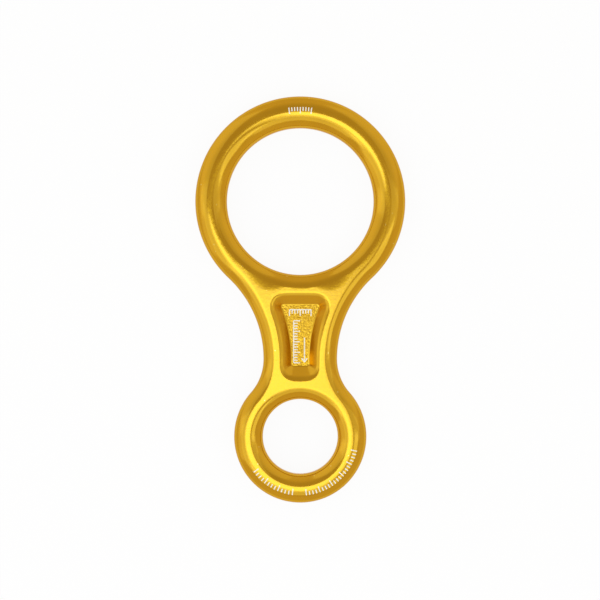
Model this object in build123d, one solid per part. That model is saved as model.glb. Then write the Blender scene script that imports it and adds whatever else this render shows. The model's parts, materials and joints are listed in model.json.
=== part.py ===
from build123d import *
import os
from math import cos, radians, tan

# Figure-eight belay and abseil device: one closed-die aluminium forging.
#
# A large rope ring and a small karabiner eye are joined by a waisted web. Every outer and inner edge
# is rolled to a round so that rope runs over it, and a drafted keystone pocket lightens both faces of
# the web. The device lies flat: +Z is its thickness, +Y points to the rope ring, and the origin is the
# bottom centre of its bounding box. Units are millimetres and degrees.

# ---- Driving dimensions ------------------------------------------------------------------------
rope_hole_diameter = 49.0  # clear hole of the rope ring
rope_ring_bar = 10.6  # width of the ring's bar, seen from above
eye_diameter = 25.0  # clear hole that the karabiner goes through
eye_bar = 9.6  # width of the eye's bar, seen from above
hole_spacing = 78.5  # between the two hole centres
waist_width = 24.6  # narrowest width of the web
waist_from_eye = 25.9  # from the eye's centre to the narrowest section
thickness = 10.4  # flat face to flat face
parting_land = 1.2  # straight wall left at mid-thickness, where the forging's flash is trimmed

pocket_depth = 2.8  # in each face of the web
pocket_draft = 40.0  # slope of the pocket's walls from upright
pocket_rim_radius = 3.7  # roll from the flat face into the pocket
pocket_floor_radius = 0.4  # fillet at the foot of the pocket's walls
pocket_corner_radius = 0.6  # of the floor's corners, in plan
rib_flat = 0.75  # flat left between the waist's rolled edge and the pocket's rim
rope_side_flat = 0.6  # flat left between the rope hole's rolled edge and the pocket's rim
eye_side_flat = 1.2  # flat left between the eye's rolled edge and the pocket's rim

# ---- Sizes that follow -------------------------------------------------------------------------
rope_hole_radius = rope_hole_diameter / 2
eye_radius = eye_diameter / 2
rope_ring_radius = rope_hole_radius + rope_ring_bar
eye_ring_radius = eye_radius + eye_bar
waist_half = waist_width / 2

length = rope_ring_radius + hole_spacing + eye_ring_radius
rope_centre_y = length / 2 - rope_ring_radius
eye_centre_y = rope_centre_y - hole_spacing
waist_y = eye_centre_y + waist_from_eye

# the rolled edge is as large as the thickness allows, and never rounds a bar away
WIDEST_ROLL = 0.48  # share of a bar's width that one rolled edge may take
edge_radius = min((thickness - parting_land) / 2, WIDEST_ROLL * min(rope_ring_bar, eye_bar))

# the rim's roll and the floor's fillet share the pocket's wall
wall_slope = radians(90 - pocket_draft)  # from the flat face down to the wall
wall_run = pocket_depth * tan(radians(pocket_draft))  # plan width of the wall
tallest_rim = pocket_depth / (1 - cos(wall_slope)) - pocket_floor_radius
rim_radius = min(pocket_rim_radius, tallest_rim)
rim_setback = rim_radius * tan(wall_slope / 2)  # plan width of the roll, outside the wall's top


def hollow_radius(ring_radius, ring_distance):
    """Radius of the hollow arc that touches a ring and stands square to the waist line."""
    reach = waist_half**2 + ring_distance**2 - ring_radius**2
    return reach / (2 * (ring_radius - waist_half))


rope_hollow_radius = hollow_radius(rope_ring_radius, rope_centre_y - waist_y)
eye_hollow_radius = hollow_radius(eye_ring_radius, waist_y - eye_centre_y)
rope_hollow = Vector(waist_half + rope_hollow_radius, waist_y)  # centre of the arc, on the right
eye_hollow = Vector(waist_half + eye_hollow_radius, waist_y)


def mirrored(point):
    """The same point on the left-hand side."""
    return Vector(-point.X, point.Y)


def arc_about(centre, start, end):
    """The shorter arc from start to end about centre."""
    middle = (start - centre).normalized() + (end - centre).normalized()
    return ThreePointArc(start, centre + middle.normalized() * (start - centre).length, end)


# ---- Outline: two rings drawn together by hollow arcs -------------------------------------------
def forging_outline():
    """Outline of the forging, with the rope hole and the karabiner eye in it."""
    rope_centre = Vector(0, rope_centre_y)
    eye_centre = Vector(0, eye_centre_y)
    waist = Vector(waist_half, waist_y)
    rope_touch = rope_centre + (rope_hollow - rope_centre).normalized() * rope_ring_radius
    eye_touch = eye_centre + (eye_hollow - eye_centre).normalized() * eye_ring_radius
    ring_top = rope_centre + Vector(0, rope_ring_radius)
    eye_bottom = eye_centre - Vector(0, eye_ring_radius)
    with BuildSketch() as sketch:
        with BuildLine():
            ThreePointArc(mirrored(rope_touch), ring_top, rope_touch)
            arc_about(rope_hollow, rope_touch, waist)
            arc_about(eye_hollow, waist, eye_touch)
            ThreePointArc(eye_touch, eye_bottom, mirrored(eye_touch))
            arc_about(mirrored(eye_hollow), mirrored(eye_touch), mirrored(waist))
            arc_about(mirrored(rope_hollow), mirrored(waist), mirrored(rope_touch))
        make_face()
        with Locations(rope_centre):
            Circle(rope_hole_radius, mode=Mode.SUBTRACT)
        with Locations(eye_centre):
            Circle(eye_radius, mode=Mode.SUBTRACT)
    return sketch.sketch


# ---- Pocket: a keystone whose sides run along the ribs -------------------------------------------
def pocket_mouth():
    """The pocket's outline where its walls would meet the flat face, without the rim's roll."""
    top_y = rope_centre_y - rope_hole_radius - edge_radius - rope_side_flat - rim_setback
    bottom_y = eye_centre_y + eye_radius + edge_radius + eye_side_flat + rim_setback
    side_radius = rope_hollow_radius + edge_radius + rib_flat + rim_setback

    def on_side(y):
        """The point at height y of the right-hand side, which keeps its distance from the waist."""
        return Vector(rope_hollow.X - (side_radius**2 - (y - waist_y) ** 2) ** 0.5, y)

    top = on_side(top_y)
    bottom = on_side(bottom_y)
    with BuildSketch() as sketch:
        with BuildLine():
            arc_about(rope_hollow, top, bottom)
            Line(bottom, mirrored(bottom))
            arc_about(mirrored(rope_hollow), mirrored(bottom), mirrored(top))
            Line(mirrored(top), top)
        make_face()
        fillet(sketch.vertices(), wall_run + pocket_corner_radius)
    return sketch.sketch


# ---- Body ----------------------------------------------------------------------------------------
def forged_body():
    """The whole forging: rolled edges all round, and a pocket in each face of the web."""
    upper_face = Plane.XY.offset(thickness)
    lower_face = Plane(origin=(0, 0, 0), x_dir=(-1, 0, 0), z_dir=(0, 0, -1))
    with BuildPart() as body:
        add(forging_outline())
        extrude(amount=thickness)
        fillet(body.faces().filter_by(Axis.Z).edges(), edge_radius)
        for face_plane in (upper_face, lower_face):
            with BuildSketch(face_plane):
                add(pocket_mouth())
            extrude(amount=-pocket_depth, taper=pocket_draft, mode=Mode.SUBTRACT)
            outward = Axis(face_plane.origin, face_plane.z_dir)
            levels = body.edges(Select.LAST).group_by(outward)
            foot = levels[0]
            rim = levels[-1]
            fillet(foot, pocket_floor_radius)
            fillet(rim, rim_radius)
    return body.part


body = forged_body()
os.makedirs("parts", exist_ok=True)
export_step(body, "parts/forged_body.step")
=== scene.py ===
import json
import random
from math import asin, atan, atan2, ceil, cos, degrees, pi, radians, sin, tan

import bmesh
import bpy
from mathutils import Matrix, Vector
from mathutils.bvhtree import BVHTree
from mathutils.geometry import delaunay_2d_cdt
from mathutils.kdtree import KDTree


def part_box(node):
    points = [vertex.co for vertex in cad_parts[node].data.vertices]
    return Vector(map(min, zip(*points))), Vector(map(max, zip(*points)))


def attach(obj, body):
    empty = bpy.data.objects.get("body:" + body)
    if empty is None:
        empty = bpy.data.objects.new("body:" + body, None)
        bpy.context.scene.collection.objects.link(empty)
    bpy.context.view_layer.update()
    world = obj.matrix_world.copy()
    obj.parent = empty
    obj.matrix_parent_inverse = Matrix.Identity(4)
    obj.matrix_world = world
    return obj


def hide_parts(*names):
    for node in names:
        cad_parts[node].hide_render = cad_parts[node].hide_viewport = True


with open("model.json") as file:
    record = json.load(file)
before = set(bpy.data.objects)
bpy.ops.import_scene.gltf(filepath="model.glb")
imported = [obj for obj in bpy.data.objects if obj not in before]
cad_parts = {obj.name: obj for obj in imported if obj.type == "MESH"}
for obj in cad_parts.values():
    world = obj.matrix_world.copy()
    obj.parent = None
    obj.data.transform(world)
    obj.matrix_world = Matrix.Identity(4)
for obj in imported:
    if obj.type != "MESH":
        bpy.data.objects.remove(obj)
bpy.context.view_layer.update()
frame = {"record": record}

# The looks of a figure-eight belay device: one forged and gold-anodised body, redrawn around the
# frame's sizes with its rolled edges and its blasted pockets, and plain scales etched on it.
# Lengths are in metres, and turns in radians where nothing else is said.

MM = 0.001

# ---- Sizes from the frame ----------------------------------------------------------------------------
mounts = {mount["name"]: mount for mount in frame["record"]["mounts"]}
body_low, body_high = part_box("forged_body")
MARK_LIFT = 0.02 * MM  # how far the etched marks stand above the metal, inside the CAD box
THICKNESS = body_high.z - body_low.z - 2 * MARK_LIFT
MIDDLE = (body_high.z + body_low.z) / 2
ROPE_Y = mounts["rope_ring"]["pos_m"][1]
ROPE_HOLE = mounts["rope_ring"]["dims"]["r_mm"] * MM
ROPE_RING = body_high.y - ROPE_Y
EYE_Y = mounts["karabiner_eye"]["pos_m"][1]
EYE_HOLE = mounts["karabiner_eye"]["dims"]["r_mm"] * MM
EYE_RING = EYE_Y - body_low.y
LAND = mounts["karabiner_eye"]["dims"]["length_mm"] * MM  # straight wall at mid-thickness
EDGE_ROLL = (THICKNESS - LAND) / 2  # what a plain round on every edge takes, in plan and in depth

# ---- Sizes of the web and its pockets --------------------------------------------------------------
WAIST = 12.3 * MM  # half of the web's narrowest width
WAIST_Y = EYE_Y + 25.9 * MM
POCKET_DEPTH = 2.8 * MM
POCKET_RUN = 4.26 * MM  # width in plan of the rolled wall, from the flat face to the floor
WALL_SLOPE = radians(43.3)  # from the face
FLOOR_ROLL = 0.65 * MM  # radius where the wall meets the floor
POCKET_CORNER = 0.6 * MM  # radius of the floor's corners
POCKET_EASING = 24  # passes of smoothing over the rim's bends
RIB_FLAT = 0.75 * MM  # the pocket's distance from the outside, less EDGE_ROLL
ROPE_SIDE_FLAT = 0.9 * MM  # and from the rope hole
EYE_SIDE_FLAT = 1.2 * MM  # and from the eye
ROPE_SIDE_RAMP = 0.3 * MM  # how much longer in plan the wall on the rope hole's side is
EYE_SIDE_RAMP = 1.2 * MM  # and the wall on the eye's side
GRAIN = 0.036 * MM  # spread of the blasted floor's heights

# every rolled edge has a width in plan, which follows the bar that it is on
WEB_ROLL = 4.25 * MM
RING_ROLL = 5.25 * MM
RING_TOP_ROLL = 4.8 * MM
EYE_OUTER_ROLL = 4.65 * MM
ROPE_HOLE_ROLL = 5.3 * MM
ROPE_HOLE_TOP_ROLL = 5.5 * MM
WEB_LIP_ROLL = 4.55 * MM
EYE_HOLE_ROLL = 4.4 * MM

# in the web's upper corners, the face bends down gently before the rope hole's roll
CORNER_LEAD = 3.1 * MM  # its greatest width in plan
LEAD_RADIUS = 50 * MM

# a rolled edge is a crown, then a shoulder that hardly bends, then a tighter and steeper end
CROWN_SLOPE = radians(34)  # where the crown ends
SHOULDER_SLOPE = radians(39)  # where the shoulder ends
SHOULDER = 1.25 * MM  # width in plan
END_WIDTH = 1.425 * MM  # half axes of the end's ellipse
END_DROP = 2.85 * MM

# radius of the pocket's rim, which brings the wall to the floor in POCKET_RUN
RIM_ROLL = (POCKET_RUN - POCKET_DEPTH / tan(WALL_SLOPE)) / tan(WALL_SLOPE / 2) - FLOOR_ROLL

# where one width gives way to another
WEB_TOP = WAIST_Y + 12 * MM
ROPE_RING_START = ROPE_Y - 15 * MM
WEB_FOOT = EYE_Y + 18 * MM
EYE_RING_START = EYE_Y + 6 * MM
TOP_START = 0.3  # of a radius, above the rope ring's centre
TOP_FULL = 0.96
LEAD_GROWS = (6, 22)  # degrees round the rope ring's centre, from straight down
LEAD_FADES = (44, 23)

MESH_STEP = 0.4 * MM  # along the outside and the holes
FACE_STEP = 0.6 * MM  # across the flats
FLOOR_STEP = 0.15 * MM  # across the pockets' floors
LEAD_STEPS = 6
CROWN_STEPS = 11
SHOULDER_STEPS = 3
END_STEPS = 9
RIM_STEPS = 22
FOOT_STEPS = 5
POCKET_SIDE_STEPS = 52
POCKET_CORNER_STEPS = 18
POCKET_TOP_STEPS = 20
POCKET_FOOT_STEPS = 12


# ---- Contours: stations of (x, y, outward x, outward y) --------------------------------------------
def arc(cx, cy, radius, start, end, facing, count=None):
    """Stations along an arc, without its last point. facing is 1 where outward is away from its
    centre, and -1 where it is towards it."""
    count = count or ceil(abs(end - start) * radius / MESH_STEP)
    turns = [start + (end - start) * i / count for i in range(count)]
    return [
        (cx + radius * cos(t), cy + radius * sin(t), facing * cos(t), facing * sin(t))
        for t in turns
    ]


def level(start_x, end_x, y, facing, count):
    """Stations along a level line, without its last point. facing is 1 where outward is +Y, and -1
    where it is -Y."""
    return [(start_x + (end_x - start_x) * i / count, y, 0, facing) for i in range(count)]


def hollow(ring_radius, ring_y):
    """Centre's x and radius of the hollow arc between the waist and a ring."""
    rise = ring_y - WAIST_Y
    radius = (WAIST**2 + rise**2 - ring_radius**2) / (2 * (ring_radius - WAIST))
    return WAIST + radius, radius


ROPE_HOLLOW_X, ROPE_HOLLOW = hollow(ROPE_RING, ROPE_Y)
EYE_HOLLOW_X, EYE_HOLLOW = hollow(EYE_RING, EYE_Y)


def outline():
    """The outside of the forging: two rings, and the hollow arcs that touch them and meet at the
    waist."""
    rope = atan2(WAIST_Y - ROPE_Y, ROPE_HOLLOW_X)
    eye = atan2(WAIST_Y - EYE_Y, EYE_HOLLOW_X)
    return [
        *arc(0, ROPE_Y, ROPE_RING, rope, pi - rope, 1),
        *arc(-ROPE_HOLLOW_X, WAIST_Y, ROPE_HOLLOW, -rope, 0, -1),
        *arc(-EYE_HOLLOW_X, WAIST_Y, EYE_HOLLOW, 0, -eye, -1),
        *arc(0, EYE_Y, EYE_RING, pi - eye, 2 * pi + eye, 1),
        *arc(EYE_HOLLOW_X, WAIST_Y, EYE_HOLLOW, pi + eye, pi, -1),
        *arc(ROPE_HOLLOW_X, WAIST_Y, ROPE_HOLLOW, pi, pi + rope, -1),
    ]


def hole(cy, radius):
    """The wall of a hole, whose outward side is its centre."""
    return arc(0, cy, radius, 0, 2 * pi, -1)


def pocket_line(inset, rope_ramp=0, eye_ramp=0):
    """The pocket's contour, inset from the line on the flat face where its rim starts and shortened
    by a ramp at either end. It has as many stations at any inset. Outward is into the pocket."""
    top = ROPE_Y - ROPE_HOLE - EDGE_ROLL - ROPE_SIDE_FLAT - inset - rope_ramp
    bottom = EYE_Y + EYE_HOLE + EDGE_ROLL + EYE_SIDE_FLAT + inset + eye_ramp
    side = ROPE_HOLLOW + EDGE_ROLL + RIB_FLAT + inset
    corner = POCKET_RUN + POCKET_CORNER - inset
    reach = side + corner
    upper = asin((top - corner - WAIST_Y) / reach)
    lower = asin((bottom + corner - WAIST_Y) / reach)
    upper_x = ROPE_HOLLOW_X - reach * cos(upper)
    lower_x = ROPE_HOLLOW_X - reach * cos(lower)
    return [
        *level(-lower_x, lower_x, bottom, 1, POCKET_FOOT_STEPS),
        *arc(lower_x, bottom + corner, corner, -pi / 2, -lower, -1, POCKET_CORNER_STEPS),
        *arc(ROPE_HOLLOW_X, WAIST_Y, side, pi - lower, pi - upper, 1, POCKET_SIDE_STEPS),
        *arc(upper_x, top - corner, corner, -upper, pi / 2, -1, POCKET_CORNER_STEPS),
        *level(upper_x, -upper_x, top, -1, POCKET_TOP_STEPS),
        *arc(-upper_x, top - corner, corner, pi / 2, pi + upper, -1, POCKET_CORNER_STEPS),
        *arc(-ROPE_HOLLOW_X, WAIST_Y, side, upper, lower, 1, POCKET_SIDE_STEPS),
        *arc(-lower_x, bottom + corner, corner, pi + lower, 3 * pi / 2, -1, POCKET_CORNER_STEPS),
    ]


def eased(stations):
    """The stations' places, with their bends eased."""
    places = [Vector(station[:2]) for station in stations]
    for _ in range(POCKET_EASING):
        places = [
            (places[i - 1] + 2 * place + places[(i + 1) % len(places)]) / 4
            for i, place in enumerate(places)
        ]
    return places


# ---- Rolls: their width in plan at a station -------------------------------------------------------
def smooth_step(low, high, value):
    """0 at low, 1 at high, and a soft change between. low may be the larger one."""
    share = min(max((value - low) / (high - low), 0), 1)
    return share * share * (3 - 2 * share)


def blend(first, second, share):
    """The width that lies this share of the way from the first to the second."""
    return first + share * (second - first)


def outer_roll(station):
    """The outside's roll, which is narrowest along the web."""
    y = station[1]
    top = smooth_step(ROPE_Y + TOP_START * ROPE_RING, ROPE_Y + TOP_FULL * ROPE_RING, y)
    ring = smooth_step(WEB_TOP, ROPE_RING_START, y)
    eye = smooth_step(WEB_FOOT, EYE_RING_START, y)
    return blend(blend(WEB_ROLL, blend(RING_ROLL, RING_TOP_ROLL, top), ring), EYE_OUTER_ROLL, eye)


def rope_hole_roll(station):
    """The rope hole's roll, which is narrowest where the hole meets the web."""
    y = station[1]
    top = smooth_step(ROPE_Y + TOP_START * ROPE_HOLE, ROPE_Y + TOP_FULL * ROPE_HOLE, y)
    ring = smooth_step(ROPE_Y - ROPE_HOLE, ROPE_Y, y)
    return blend(WEB_LIP_ROLL, blend(ROPE_HOLE_ROLL, ROPE_HOLE_TOP_ROLL, top), ring)


def rope_hole_lead(station):
    """Width of the gentle bend before the rope hole's roll, which is in the web's corners only."""
    x, y = station[:2]
    turn = degrees(atan2(abs(x), ROPE_Y - y))
    return CORNER_LEAD * smooth_step(*LEAD_GROWS, turn) * smooth_step(*LEAD_FADES, turn)


def no_lead(station):
    """An edge whose roll starts on the flat face."""
    return 0


def eye_hole_roll(station):
    """The eye hole's roll, the same all round."""
    return EYE_HOLE_ROLL


# ---- Sections, from a flat face to mid-thickness or to a floor ---------------------------------------
def bend(width, drop, start, end, count):
    """(run, fall) steps along an elliptic bend with these half axes, between two turns of it. A turn
    is the slope if the half axes are equal."""
    turns = [start + (end - start) * i / count for i in range(count + 1)]
    return [
        (width * (sin(b) - sin(a)), drop * (cos(a) - cos(b))) for a, b in zip(turns, turns[1:])
    ]


def rolled_section(width, lead):
    """(inset, fall) from the flat face over the lead and the roll to the middle of the edge."""
    lead_slope = asin(lead / LEAD_RADIUS)
    end_start = atan(END_WIDTH / END_DROP * tan(SHOULDER_SLOPE))
    crown_width = width - SHOULDER - END_WIDTH * (1 - sin(end_start))
    crown = crown_width / (sin(CROWN_SLOPE) - sin(lead_slope))
    shoulder = SHOULDER / (sin(SHOULDER_SLOPE) - sin(CROWN_SLOPE))
    steps = [
        *bend(LEAD_RADIUS, LEAD_RADIUS, 0, lead_slope, LEAD_STEPS),
        *bend(crown, crown, lead_slope, CROWN_SLOPE, CROWN_STEPS),
        *bend(shoulder, shoulder, CROWN_SLOPE, SHOULDER_SLOPE, SHOULDER_STEPS),
        *bend(END_WIDTH, END_DROP, end_start, pi / 2, END_STEPS),
    ]
    places = [(lead + width, 0)]
    for run, fall in steps:
        places.append((places[-1][0] - run, places[-1][1] + fall))
    return places


def pocket_section():
    """(inset, fall) from the flat face over the rim, down the wall and onto the floor."""
    rim = [
        (RIM_ROLL * sin(a), RIM_ROLL * (1 - cos(a)))
        for a in (WALL_SLOPE * i / RIM_STEPS for i in range(RIM_STEPS + 1))
    ]
    foot = [
        (POCKET_RUN - FLOOR_ROLL * sin(a), POCKET_DEPTH - FLOOR_ROLL * (1 - cos(a)))
        for a in (WALL_SLOPE * i / FOOT_STEPS for i in range(FOOT_STEPS, -1, -1))
    ]
    return rim + foot


# ---- Body's mesh -------------------------------------------------------------------------------------
CLOSE = MM / 1000  # points that are nearer than this are one
PATCH_CLOSE = 1e-6  # the same for a flat patch, in mm
INSIDE_WITH_HOLES = 2  # the kind of triangulation that keeps its holes open
LATTICE_CLEARANCE = 0.6  # of a step, between the lattice and a contour
GRAIN_SEED = 8


def face_height(side, fall):
    """Height of a point that lies fall below the upper face (side 1) or above the lower one (side -1)."""
    return MIDDLE + side * (THICKNESS / 2 - fall)


class Skin:
    """Vertices and faces gathered band by band."""

    def __init__(self):
        self.points = []
        self.faces = []

    def join(self, rings):
        """Faces between rings of equal length; returns the first and the last ring."""
        for near, far in zip(rings, rings[1:]):
            count = len(near)
            self.faces += [
                (near[i], near[(i + 1) % count], far[(i + 1) % count], far[i]) for i in range(count)
            ]
        return rings[0], rings[-1]

    def add(self, points):
        """Adds points and returns their indices."""
        first = len(self.points)
        self.points += points
        return list(range(first, len(self.points)))

    def half_edge(self, stations, sections, side):
        """Rings of points from one side's face to mid-thickness, with a section at each station."""
        return [
            self.add(
                Vector((x - nx * inset, y - ny * inset, face_height(side, fall)))
                for (x, y, nx, ny), (inset, fall) in zip(stations, row)
            )
            for row in zip(*sections)
        ]

    def rolled_edge(self, stations, roll, lead=no_lead):
        """A rolled edge along a contour; returns its rings on the lower and the upper face."""
        sections = [rolled_section(roll(station), lead(station)) for station in stations]
        upper = self.half_edge(stations, sections, 1)
        lower = self.half_edge(stations, sections, -1)
        return self.join(lower + upper[::-1])

    def pocket_wall(self, side):
        """The wall of one side's pocket; returns its rings on the face and on the floor."""
        rim = eased(pocket_line(0))
        foot_line = pocket_line(POCKET_RUN, ROPE_SIDE_RAMP, EYE_SIDE_RAMP)
        foot = [Vector(station[:2]) for station in foot_line]
        rings = [
            self.add(
                Vector((*near.lerp(far, inset / POCKET_RUN), face_height(side, fall)))
                for near, far in zip(rim, foot)
            )
            for inset, fall in pocket_section()
        ]
        return self.join(rings)

    def level_patch(self, loops, step, grain=0):
        """Fills the space inside the first loop and outside the others with small triangles, at the
        loops' height. grain is the spread of the inner points' heights."""
        owner = [i for loop in loops for i in loop]
        height = self.points[owner[0]].z
        flat = [Vector((self.points[i].x / MM, self.points[i].y / MM)) for i in owner]
        outlines = []
        start = 0
        for loop in loops:
            outlines.append(list(range(start, start + len(loop))))
            start += len(loop)
        flat += lattice(flat, step / MM)
        points, _, triangles, origins, _, _ = delaunay_2d_cdt(
            flat, [], outlines, INSIDE_WITH_HOLES, PATCH_CLOSE
        )
        indices = []
        for point, origin in zip(points, origins):
            known = [owner[i] for i in origin if i < len(owner)]
            if known:
                indices.append(known[0])
            else:
                indices.append(len(self.points))
                bump = random.gauss(0, grain)
                self.points.append(Vector((point.x * MM, point.y * MM, height + bump)))
        self.faces += [tuple(indices[i] for i in triangle) for triangle in triangles]


def lattice(contour, step):
    """A staggered lattice over the box of a contour's points, clear of the points themselves."""
    near = KDTree(len(contour))
    for i, point in enumerate(contour):
        near.insert(point.to_3d(), i)
    near.balance()
    low_x = min(p.x for p in contour)
    high_x = max(p.x for p in contour)
    low_y = min(p.y for p in contour)
    high_y = max(p.y for p in contour)
    row_height = step * sin(pi / 3)
    spots = []
    for row in range(ceil((high_y - low_y) / row_height)):
        shift = step / 2 * (row % 2)
        for column in range(ceil((high_x - low_x) / step)):
            spot = Vector((low_x + shift + column * step, low_y + (row + 0.5) * row_height))
            distance = near.find(spot.to_3d())[2]
            if distance > LATTICE_CLEARANCE * step:
                spots.append(spot)
    return spots


def forged_skin():
    """The closed surface of the forging."""
    random.seed(GRAIN_SEED)
    skin = Skin()
    edges = [
        skin.rolled_edge(outline(), outer_roll),
        skin.rolled_edge(hole(ROPE_Y, ROPE_HOLE), rope_hole_roll, rope_hole_lead),
        skin.rolled_edge(hole(EYE_Y, EYE_HOLE), eye_hole_roll),
    ]
    for side, end in ((-1, 0), (1, 1)):
        rim, foot = skin.pocket_wall(side)
        skin.level_patch([rings[end] for rings in edges] + [rim], FACE_STEP)
        skin.level_patch([foot], FLOOR_STEP, GRAIN)
    return skin


def make_piece(name, points, faces, material):
    """A smooth-shaded object of these points and faces."""
    mesh = bpy.data.meshes.new(name)
    mesh.from_pydata(points, [], faces)
    bm = bmesh.new()
    bm.from_mesh(mesh)
    bmesh.ops.remove_doubles(bm, verts=bm.verts, dist=CLOSE)
    loose = [v for v in bm.verts if not v.link_faces]
    bmesh.ops.delete(bm, geom=loose, context="VERTS")
    bmesh.ops.recalc_face_normals(bm, faces=bm.faces)
    for face in bm.faces:
        face.smooth = True
    bm.to_mesh(mesh)
    bm.free()
    mesh.materials.append(material)
    piece = bpy.data.objects.new(name, mesh)
    bpy.context.scene.collection.objects.link(piece)
    return piece


# ---- Etched marks: plain scales and an arrow, with no letters or figures ----------------------------
STROKE = 0.36 * MM  # width of a stroke
MARK_STEP = 0.25 * MM  # along a stroke
LONG_TICK = 2.1 * MM
SHORT_TICK = 1.3 * MM
LONG_EVERY = 4
FLOOR_LIFT = 0.07 * MM  # clears most of the blasted floor's grain

# round scales: distance in from the outside, then first and last angle in degrees and ticks
RING_SCALE_INSET = 3.9 * MM
RING_SCALE = (97, 83, 9)
EYE_SCALE_INSET = 2.7 * MM
EYE_RIGHT_SCALE = (-14, -84, 21)
EYE_LEFT_SCALE = (-98, -143, 13)

# the pocket's marks: places across, and distances down from the floor's upper edge
FLOOR_TOP = ROPE_Y - ROPE_HOLE - EDGE_ROLL - ROPE_SIDE_FLAT - POCKET_RUN  # without ROPE_SIDE_RAMP
CROSS_SCALE_END = 3.6 * MM
CROSS_SCALE_DOWN = 1.9 * MM
CROSS_SCALE_TICKS = 9
LONG_SCALE_X = -2.2 * MM
LONG_SCALE_START = 5.6 * MM
LONG_SCALE_END = 19.6 * MM
LONG_SCALE_TICKS = 17
ARROW_X = 1.4 * MM
ARROW_START = 11.2 * MM
ARROW_TIP = 19.4 * MM
BARB_LENGTH = 1.3 * MM
BARB_WIDTH = 0.91 * MM


def stroke(start, end):
    """A straight stroke, as rows of two points, one on either edge."""
    run = end - start
    side = run.orthogonal().normalized() * STROKE / 2
    count = ceil(run.length / MARK_STEP)
    places = [start + run * i / count for i in range(count + 1)]
    return [(place - side, place + side) for place in places]


def tick_length(i):
    """The first tick is a long one, and so is every fourth after it."""
    return SHORT_TICK if i % LONG_EVERY else LONG_TICK


def round_scale(cy, radius, start, end, ticks):
    """Ticks that hang inwards from a radius, between two angles in degrees."""
    centre = Vector((0, cy))
    strokes = []
    for i in range(ticks):
        turn = radians(start + (end - start) * i / (ticks - 1))
        ray = Vector((cos(turn), sin(turn)))
        strokes.append(stroke(centre + ray * radius, centre + ray * (radius - tick_length(i))))
    return strokes


def straight_scale(start, end, ticks):
    """A line with ticks on its right, as seen on the way from start to end."""
    right = -(end - start).orthogonal().normalized()
    places = [start.lerp(end, i / (ticks - 1)) for i in range(ticks)]
    strokes = [stroke(place, place + right * tick_length(i)) for i, place in enumerate(places)]
    return [stroke(start, end), *strokes]


def face_strokes():
    """A scale at the top of the rope ring, and two round the end of the eye."""
    return [
        *round_scale(ROPE_Y, ROPE_RING - RING_SCALE_INSET, *RING_SCALE),
        *round_scale(EYE_Y, EYE_RING - EYE_SCALE_INSET, *EYE_RIGHT_SCALE),
        *round_scale(EYE_Y, EYE_RING - EYE_SCALE_INSET, *EYE_LEFT_SCALE),
    ]


def floor_strokes():
    """Two scales on the pocket's floor, and an arrow that points to the eye."""

    def place(x, down):
        return Vector((x, FLOOR_TOP - down))

    cross_start = place(-CROSS_SCALE_END, CROSS_SCALE_DOWN)
    cross_end = place(CROSS_SCALE_END, CROSS_SCALE_DOWN)
    long_start = place(LONG_SCALE_X, LONG_SCALE_END)
    long_end = place(LONG_SCALE_X, LONG_SCALE_START)
    tip = place(ARROW_X, ARROW_TIP)
    return [
        *straight_scale(cross_start, cross_end, CROSS_SCALE_TICKS),
        *straight_scale(long_start, long_end, LONG_SCALE_TICKS),
        stroke(place(ARROW_X, ARROW_START), tip),
        stroke(tip + Vector((-BARB_WIDTH, BARB_LENGTH)), tip),
        stroke(tip + Vector((BARB_WIDTH, BARB_LENGTH)), tip),
    ]


def lay_on(skin, strokes, lift):
    """Points and faces of strokes laid on the skin's upper side, lift above it."""
    surface = BVHTree.FromPolygons(skin.points, skin.faces)
    down = Vector((0, 0, -1))
    points = []
    faces = []
    for rows in strokes:
        for row in rows:
            for place in row:
                above = Vector((place.x, place.y, 2 * THICKNESS))
                hit = surface.ray_cast(above, down)[0]
                points.append(hit - down * lift)
        start = len(points) - 2 * len(rows)
        faces += [(i, i + 1, i + 3, i + 2) for i in range(start, len(points) - 2, 2)]
    return points, faces


# ---- Materials ---------------------------------------------------------------------------------------
NOISE_LOW = 0.3  # a noise lies mostly between these two
NOISE_HIGH = 0.7
NOISE_TOP = 0.95  # well above anything that it reaches

DEEP_GOLD = (0.62, 0.34, 0.013, 1)
LIGHT_GOLD = (0.66, 0.37, 0.015, 1)
EDGE_TINT = (0.8, 0.55, 0.2, 1)  # of the metal, seen at a shallow angle
FINE_POLISH = 0.135  # roughness
DULL_POLISH = 0.165
CLOUD = 9 * MM  # size of the soft patches of tone and polish
TUMBLE = 1.3 * MM  # size of the waves that tumbling leaves
TUMBLE_HEIGHT = 0.01 * MM
SEALING = 0.25  # weight of the clear coat
SEALING_ROUGHNESS = 0.06

SPECK_TONE = (0.85, 0.62, 0.2, 1)
SPECK_SPACING = 3.2 * MM
SPECK_RADIUS = 0.17 * MM
SPECK_THINNING = 0.45  # the more, the fewer specks
HAIRLINE_LENGTH = 9 * MM
HAIRLINE_WIDTH = 0.22 * MM
HAIRLINE_GRID_TURN = radians(24)  # of the noise's grid, so that the lines don't end in rows
HAIRLINE_START = 0.6  # the noise from which a hairline shows
HAIRLINE_FULL = 0.75
HAIRLINE_DULLING = 0.08  # added to the roughness

DULL_WHITE = (0.88, 0.86, 0.74, 1)
BRIGHT_WHITE = (0.96, 0.94, 0.86, 1)
FROST = 0.3 * MM  # size of the uneven patches in the etched marks
FROST_ROUGH = 0.6
FROST_SMOOTH = 0.4


def new_material(name):
    """A material with its starting nodes, and its node tree."""
    material = bpy.data.materials.new(name)
    material.use_nodes = True
    return material, material.node_tree


def joined(tree, operation, first, second):
    """The output of a maths node over two sockets, or over a socket and a number."""
    node = tree.nodes.new("ShaderNodeMath")
    node.operation = operation
    for socket, value in zip(node.inputs, (first, second)):
        if isinstance(value, (int, float)):
            socket.default_value = value
        else:
            tree.links.new(value, socket)
    return node.outputs["Value"]


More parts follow.
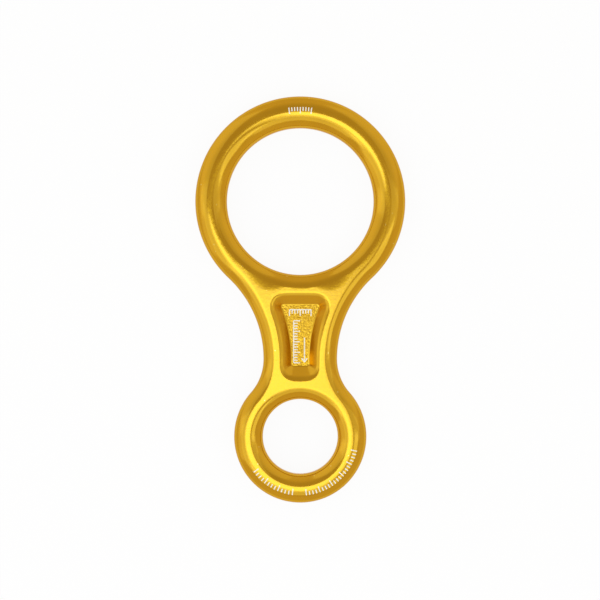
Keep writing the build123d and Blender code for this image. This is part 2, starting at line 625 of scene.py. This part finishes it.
def noise(tree, place, size, detail):
    """Soft noise from 0 to 1, with patches of about this size."""
    node = tree.nodes.new("ShaderNodeTexNoise")
    node.inputs["Scale"].default_value = 1 / size
    node.inputs["Detail"].default_value = detail
    tree.links.new(place, node.inputs["Vector"])
    return node.outputs["Fac"]


def ranged(tree, value, low, high, first, second):
    """Turns a value from low to high into one from first to second, and goes past neither."""
    node = tree.nodes.new("ShaderNodeMapRange")
    node.inputs["From Min"].default_value = low
    node.inputs["From Max"].default_value = high
    node.inputs["To Min"].default_value = first
    node.inputs["To Max"].default_value = second
    tree.links.new(value, node.inputs["Value"])
    return node.outputs["Result"]


def toned(tree, value, stops):
    """A colour that follows the value through rising (value, colour) stops."""
    node = tree.nodes.new("ShaderNodeValToRGB")
    ramp = node.color_ramp
    while len(ramp.elements) < len(stops):
        ramp.elements.new(1)
    for element, (position, colour) in zip(ramp.elements, stops):
        element.position = position
        element.color = colour
    tree.links.new(value, node.inputs["Fac"])
    return node.outputs["Color"]


def specks(tree, place):
    """1 in small round specks that are strewn far apart, and 0 elsewhere."""
    cells = tree.nodes.new("ShaderNodeTexVoronoi")
    cells.inputs["Scale"].default_value = 1 / SPECK_SPACING
    tree.links.new(place, cells.inputs["Vector"])
    near = joined(tree, "LESS_THAN", cells.outputs["Distance"], SPECK_RADIUS / SPECK_SPACING)
    chosen = joined(tree, "GREATER_THAN", cells.outputs["Color"], SPECK_THINNING)
    return joined(tree, "MULTIPLY", near, chosen)


def hairlines(tree, place):
    """Noise drawn out into fine lines straight across the object, as rope and rock leave them."""
    mapping = tree.nodes.new("ShaderNodeMapping")
    mapping.inputs["Rotation"].default_value = (0, 0, HAIRLINE_GRID_TURN)
    mapping.inputs["Scale"].default_value = (1, HAIRLINE_LENGTH / HAIRLINE_WIDTH, 1)
    tree.links.new(place, mapping.inputs["Vector"])
    return noise(tree, mapping.outputs["Vector"], HAIRLINE_LENGTH, detail=1)


def anodised_gold():
    """Tumbled and gold-anodised aluminium, whose tone and polish vary softly, with faint wear."""
    material, tree = new_material("gold_anodised_aluminium")
    shader = tree.nodes["Principled BSDF"]
    shader.inputs["Metallic"].default_value = 1.0
    shader.inputs["Specular Tint"].default_value = EDGE_TINT
    shader.inputs["Coat Weight"].default_value = SEALING
    shader.inputs["Coat Roughness"].default_value = SEALING_ROUGHNESS
    place = tree.nodes.new("ShaderNodeTexCoord").outputs["Object"]
    cloud = noise(tree, place, CLOUD, detail=2)

    speckled = joined(tree, "MAXIMUM", cloud, specks(tree, place))
    stops = [
        (NOISE_LOW, DEEP_GOLD),
        (NOISE_HIGH, LIGHT_GOLD),
        (NOISE_TOP, LIGHT_GOLD),
        (1, SPECK_TONE),
    ]
    tree.links.new(toned(tree, speckled, stops), shader.inputs["Base Color"])

    polish = ranged(tree, cloud, NOISE_LOW, NOISE_HIGH, FINE_POLISH, DULL_POLISH)
    lines = hairlines(tree, place)
    wear = ranged(tree, lines, HAIRLINE_START, HAIRLINE_FULL, 0, HAIRLINE_DULLING)
    tree.links.new(joined(tree, "ADD", polish, wear), shader.inputs["Roughness"])

    bump = tree.nodes.new("ShaderNodeBump")
    bump.inputs["Distance"].default_value = TUMBLE_HEIGHT
    tree.links.new(noise(tree, place, TUMBLE, detail=1), bump.inputs["Height"])
    tree.links.new(bump.outputs["Normal"], shader.inputs["Normal"])
    return material


def etched_white():
    """The frosty white that a marking laser leaves, a little uneven."""
    material, tree = new_material("etched_white")
    shader = tree.nodes["Principled BSDF"]
    place = tree.nodes.new("ShaderNodeTexCoord").outputs["Object"]
    frost = noise(tree, place, FROST, detail=2)
    stops = [(NOISE_LOW, DULL_WHITE), (NOISE_HIGH, BRIGHT_WHITE)]
    tree.links.new(toned(tree, frost, stops), shader.inputs["Base Color"])
    polish = ranged(tree, frost, NOISE_LOW, NOISE_HIGH, FROST_ROUGH, FROST_SMOOTH)
    tree.links.new(polish, shader.inputs["Roughness"])
    return material


# ---- Pieces ------------------------------------------------------------------------------------------
skin = forged_skin()
body = make_piece("forged_aluminium_body", skin.points, skin.faces, anodised_gold())
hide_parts("forged_body")
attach(body, "root")

marking = etched_white()
face_marks = make_piece("etched_face_scales", *lay_on(skin, face_strokes(), MARK_LIFT), marking)
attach(face_marks, "root")
floor_marks = make_piece("etched_pocket_scale", *lay_on(skin, floor_strokes(), FLOOR_LIFT), marking)
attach(floor_marks, "root")


# ---- Stage: floor, world, lamps and camera -----------------------------------------------------------
FLOOR_SIZE = 40  # its end is hardly seen from a low angle
FLOOR_WHITE = (0.94, 0.94, 0.94, 1)
FLOOR_ROUGHNESS = 0.9
FLOOR_SPECULAR = 0.1
FLOOR_GLOW = 0.93  # share of the floor's look that is plain white, whatever falls on it
WARM = (1.0, 0.86, 0.6, 1)  # the world
COOL = (0.79, 1.0, 1.4)  # the lamps, which make up for it
HORIZON = 0.83  # the world's strength
ZENITH = 0.6
FADE_START = 0.2  # height on a dome of radius 1
FADE_END = 0.92
LAMP_DISTANCE = 0.9
CAMERA_DISTANCE = 0.7
CAMERA_X = -0.09 * MM
CAMERA_Y = -0.17 * MM
SEEN_WIDTH = 0.2007  # across the picture, at mid-thickness
SENSOR = 36  # mm, as Blender's cameras have it


def make_floor():
    """A white table top. It looks lit to the camera and in the metal, and keeps a faint shadow."""
    bpy.ops.mesh.primitive_plane_add(size=FLOOR_SIZE, location=(0, 0, body_low.z))
    floor = bpy.context.object
    floor.name = "floor"
    material, tree = new_material("white_floor")
    shader = tree.nodes["Principled BSDF"]
    shader.inputs["Base Color"].default_value = FLOOR_WHITE
    shader.inputs["Roughness"].default_value = FLOOR_ROUGHNESS
    shader.inputs["Specular IOR Level"].default_value = FLOOR_SPECULAR
    white = tree.nodes.new("ShaderNodeEmission")
    white.inputs["Color"].default_value = (1, 1, 1, 1)
    white.inputs["Strength"].default_value = 1.0
    path = tree.nodes.new("ShaderNodeLightPath")
    seen = joined(tree, "MAXIMUM", path.outputs["Is Camera Ray"], path.outputs["Is Glossy Ray"])
    seen = joined(tree, "MAXIMUM", seen, path.outputs["Is Transmission Ray"])
    share = joined(tree, "MULTIPLY", seen, FLOOR_GLOW)
    mix = tree.nodes.new("ShaderNodeMixShader")
    tree.links.new(share, mix.inputs["Fac"])
    tree.links.new(shader.outputs["BSDF"], mix.inputs[1])
    tree.links.new(white.outputs["Emission"], mix.inputs[2])
    tree.links.new(mix.outputs["Shader"], tree.nodes["Material Output"].inputs["Surface"])
    floor.data.materials.append(material)


def make_world():
    """A warm white dome that is brightest at its horizon."""
    world = bpy.data.worlds.new("studio")
    world.use_nodes = True
    nodes = world.node_tree.nodes
    links = world.node_tree.links
    direction = nodes.new("ShaderNodeTexCoord")
    split = nodes.new("ShaderNodeSeparateXYZ")
    fade = nodes.new("ShaderNodeMapRange")
    fade.interpolation_type = "SMOOTHSTEP"
    fade.inputs["From Min"].default_value = FADE_START
    fade.inputs["From Max"].default_value = FADE_END
    fade.inputs["To Min"].default_value = HORIZON
    fade.inputs["To Max"].default_value = ZENITH
    links.new(direction.outputs["Generated"], split.inputs["Vector"])
    links.new(split.outputs["Z"], fade.inputs["Value"])
    links.new(fade.outputs["Result"], nodes["Background"].inputs["Strength"])
    nodes["Background"].inputs["Color"].default_value = WARM
    bpy.context.scene.world = world


def softbox(name, across, along, width, height, radiance):
    """A lamp that faces the object from LAMP_DISTANCE. across and along are degrees from straight up,
    towards +X and +Y, and width and height are its size in degrees, as seen from the object. radiance
    is how bright its face looks."""
    tilt = radians((across**2 + along**2) ** 0.5)
    turn = atan2(along, across)
    away = Vector((sin(tilt) * cos(turn), sin(tilt) * sin(turn), cos(tilt)))
    data = bpy.data.lights.new(name, "AREA")
    data.shape = "RECTANGLE"
    data.size = 2 * LAMP_DISTANCE * tan(radians(width / 2))
    data.size_y = 2 * LAMP_DISTANCE * tan(radians(height / 2))
    data.energy = radiance * pi * data.size * data.size_y
    data.color = COOL
    lamp = bpy.data.objects.new(name, data)
    lamp.location = away * LAMP_DISTANCE
    lamp.rotation_mode = "QUATERNION"
    lamp.rotation_quaternion = Vector((0, 0, 1)).rotation_difference(away)
    lamp.visible_camera = False
    bpy.context.scene.collection.objects.link(lamp)


def make_camera():
    """A camera straight above the object."""
    data = bpy.data.cameras.new("camera")
    data.sensor_width = SENSOR
    data.lens = SENSOR * CAMERA_DISTANCE / SEEN_WIDTH
    camera = bpy.data.objects.new("camera", data)
    camera.location = (CAMERA_X, CAMERA_Y, MIDDLE + CAMERA_DISTANCE)
    bpy.context.scene.collection.objects.link(camera)
    return camera


make_floor()
make_world()

# across, along, width, height and radiance
softbox("key_softbox", -9.5, -8.6, 25, 20.5, 1.2)
softbox("key_apron", -10, -13.1, 38, 29.5, 0.85)
softbox("left_apron", -41, -17.5, 34, 37, 0.3)
softbox("left_softbox", -51, -10, 45, 42, 0.3)
softbox("front_softbox", -3, -41, 66, 30, 0.52)
softbox("right_softbox", 32, -18, 30, 26, 0.78)
softbox("right_strip", 37, 1, 48, 20, 0.33)
softbox("upper_left", -52, 34, 44, 60, 0.26)
softbox("upper_right", 48, 40, 44, 60, 0.16)

bpy.context.scene.camera = make_camera()
bpy.context.scene.view_settings.view_transform = "Standard"
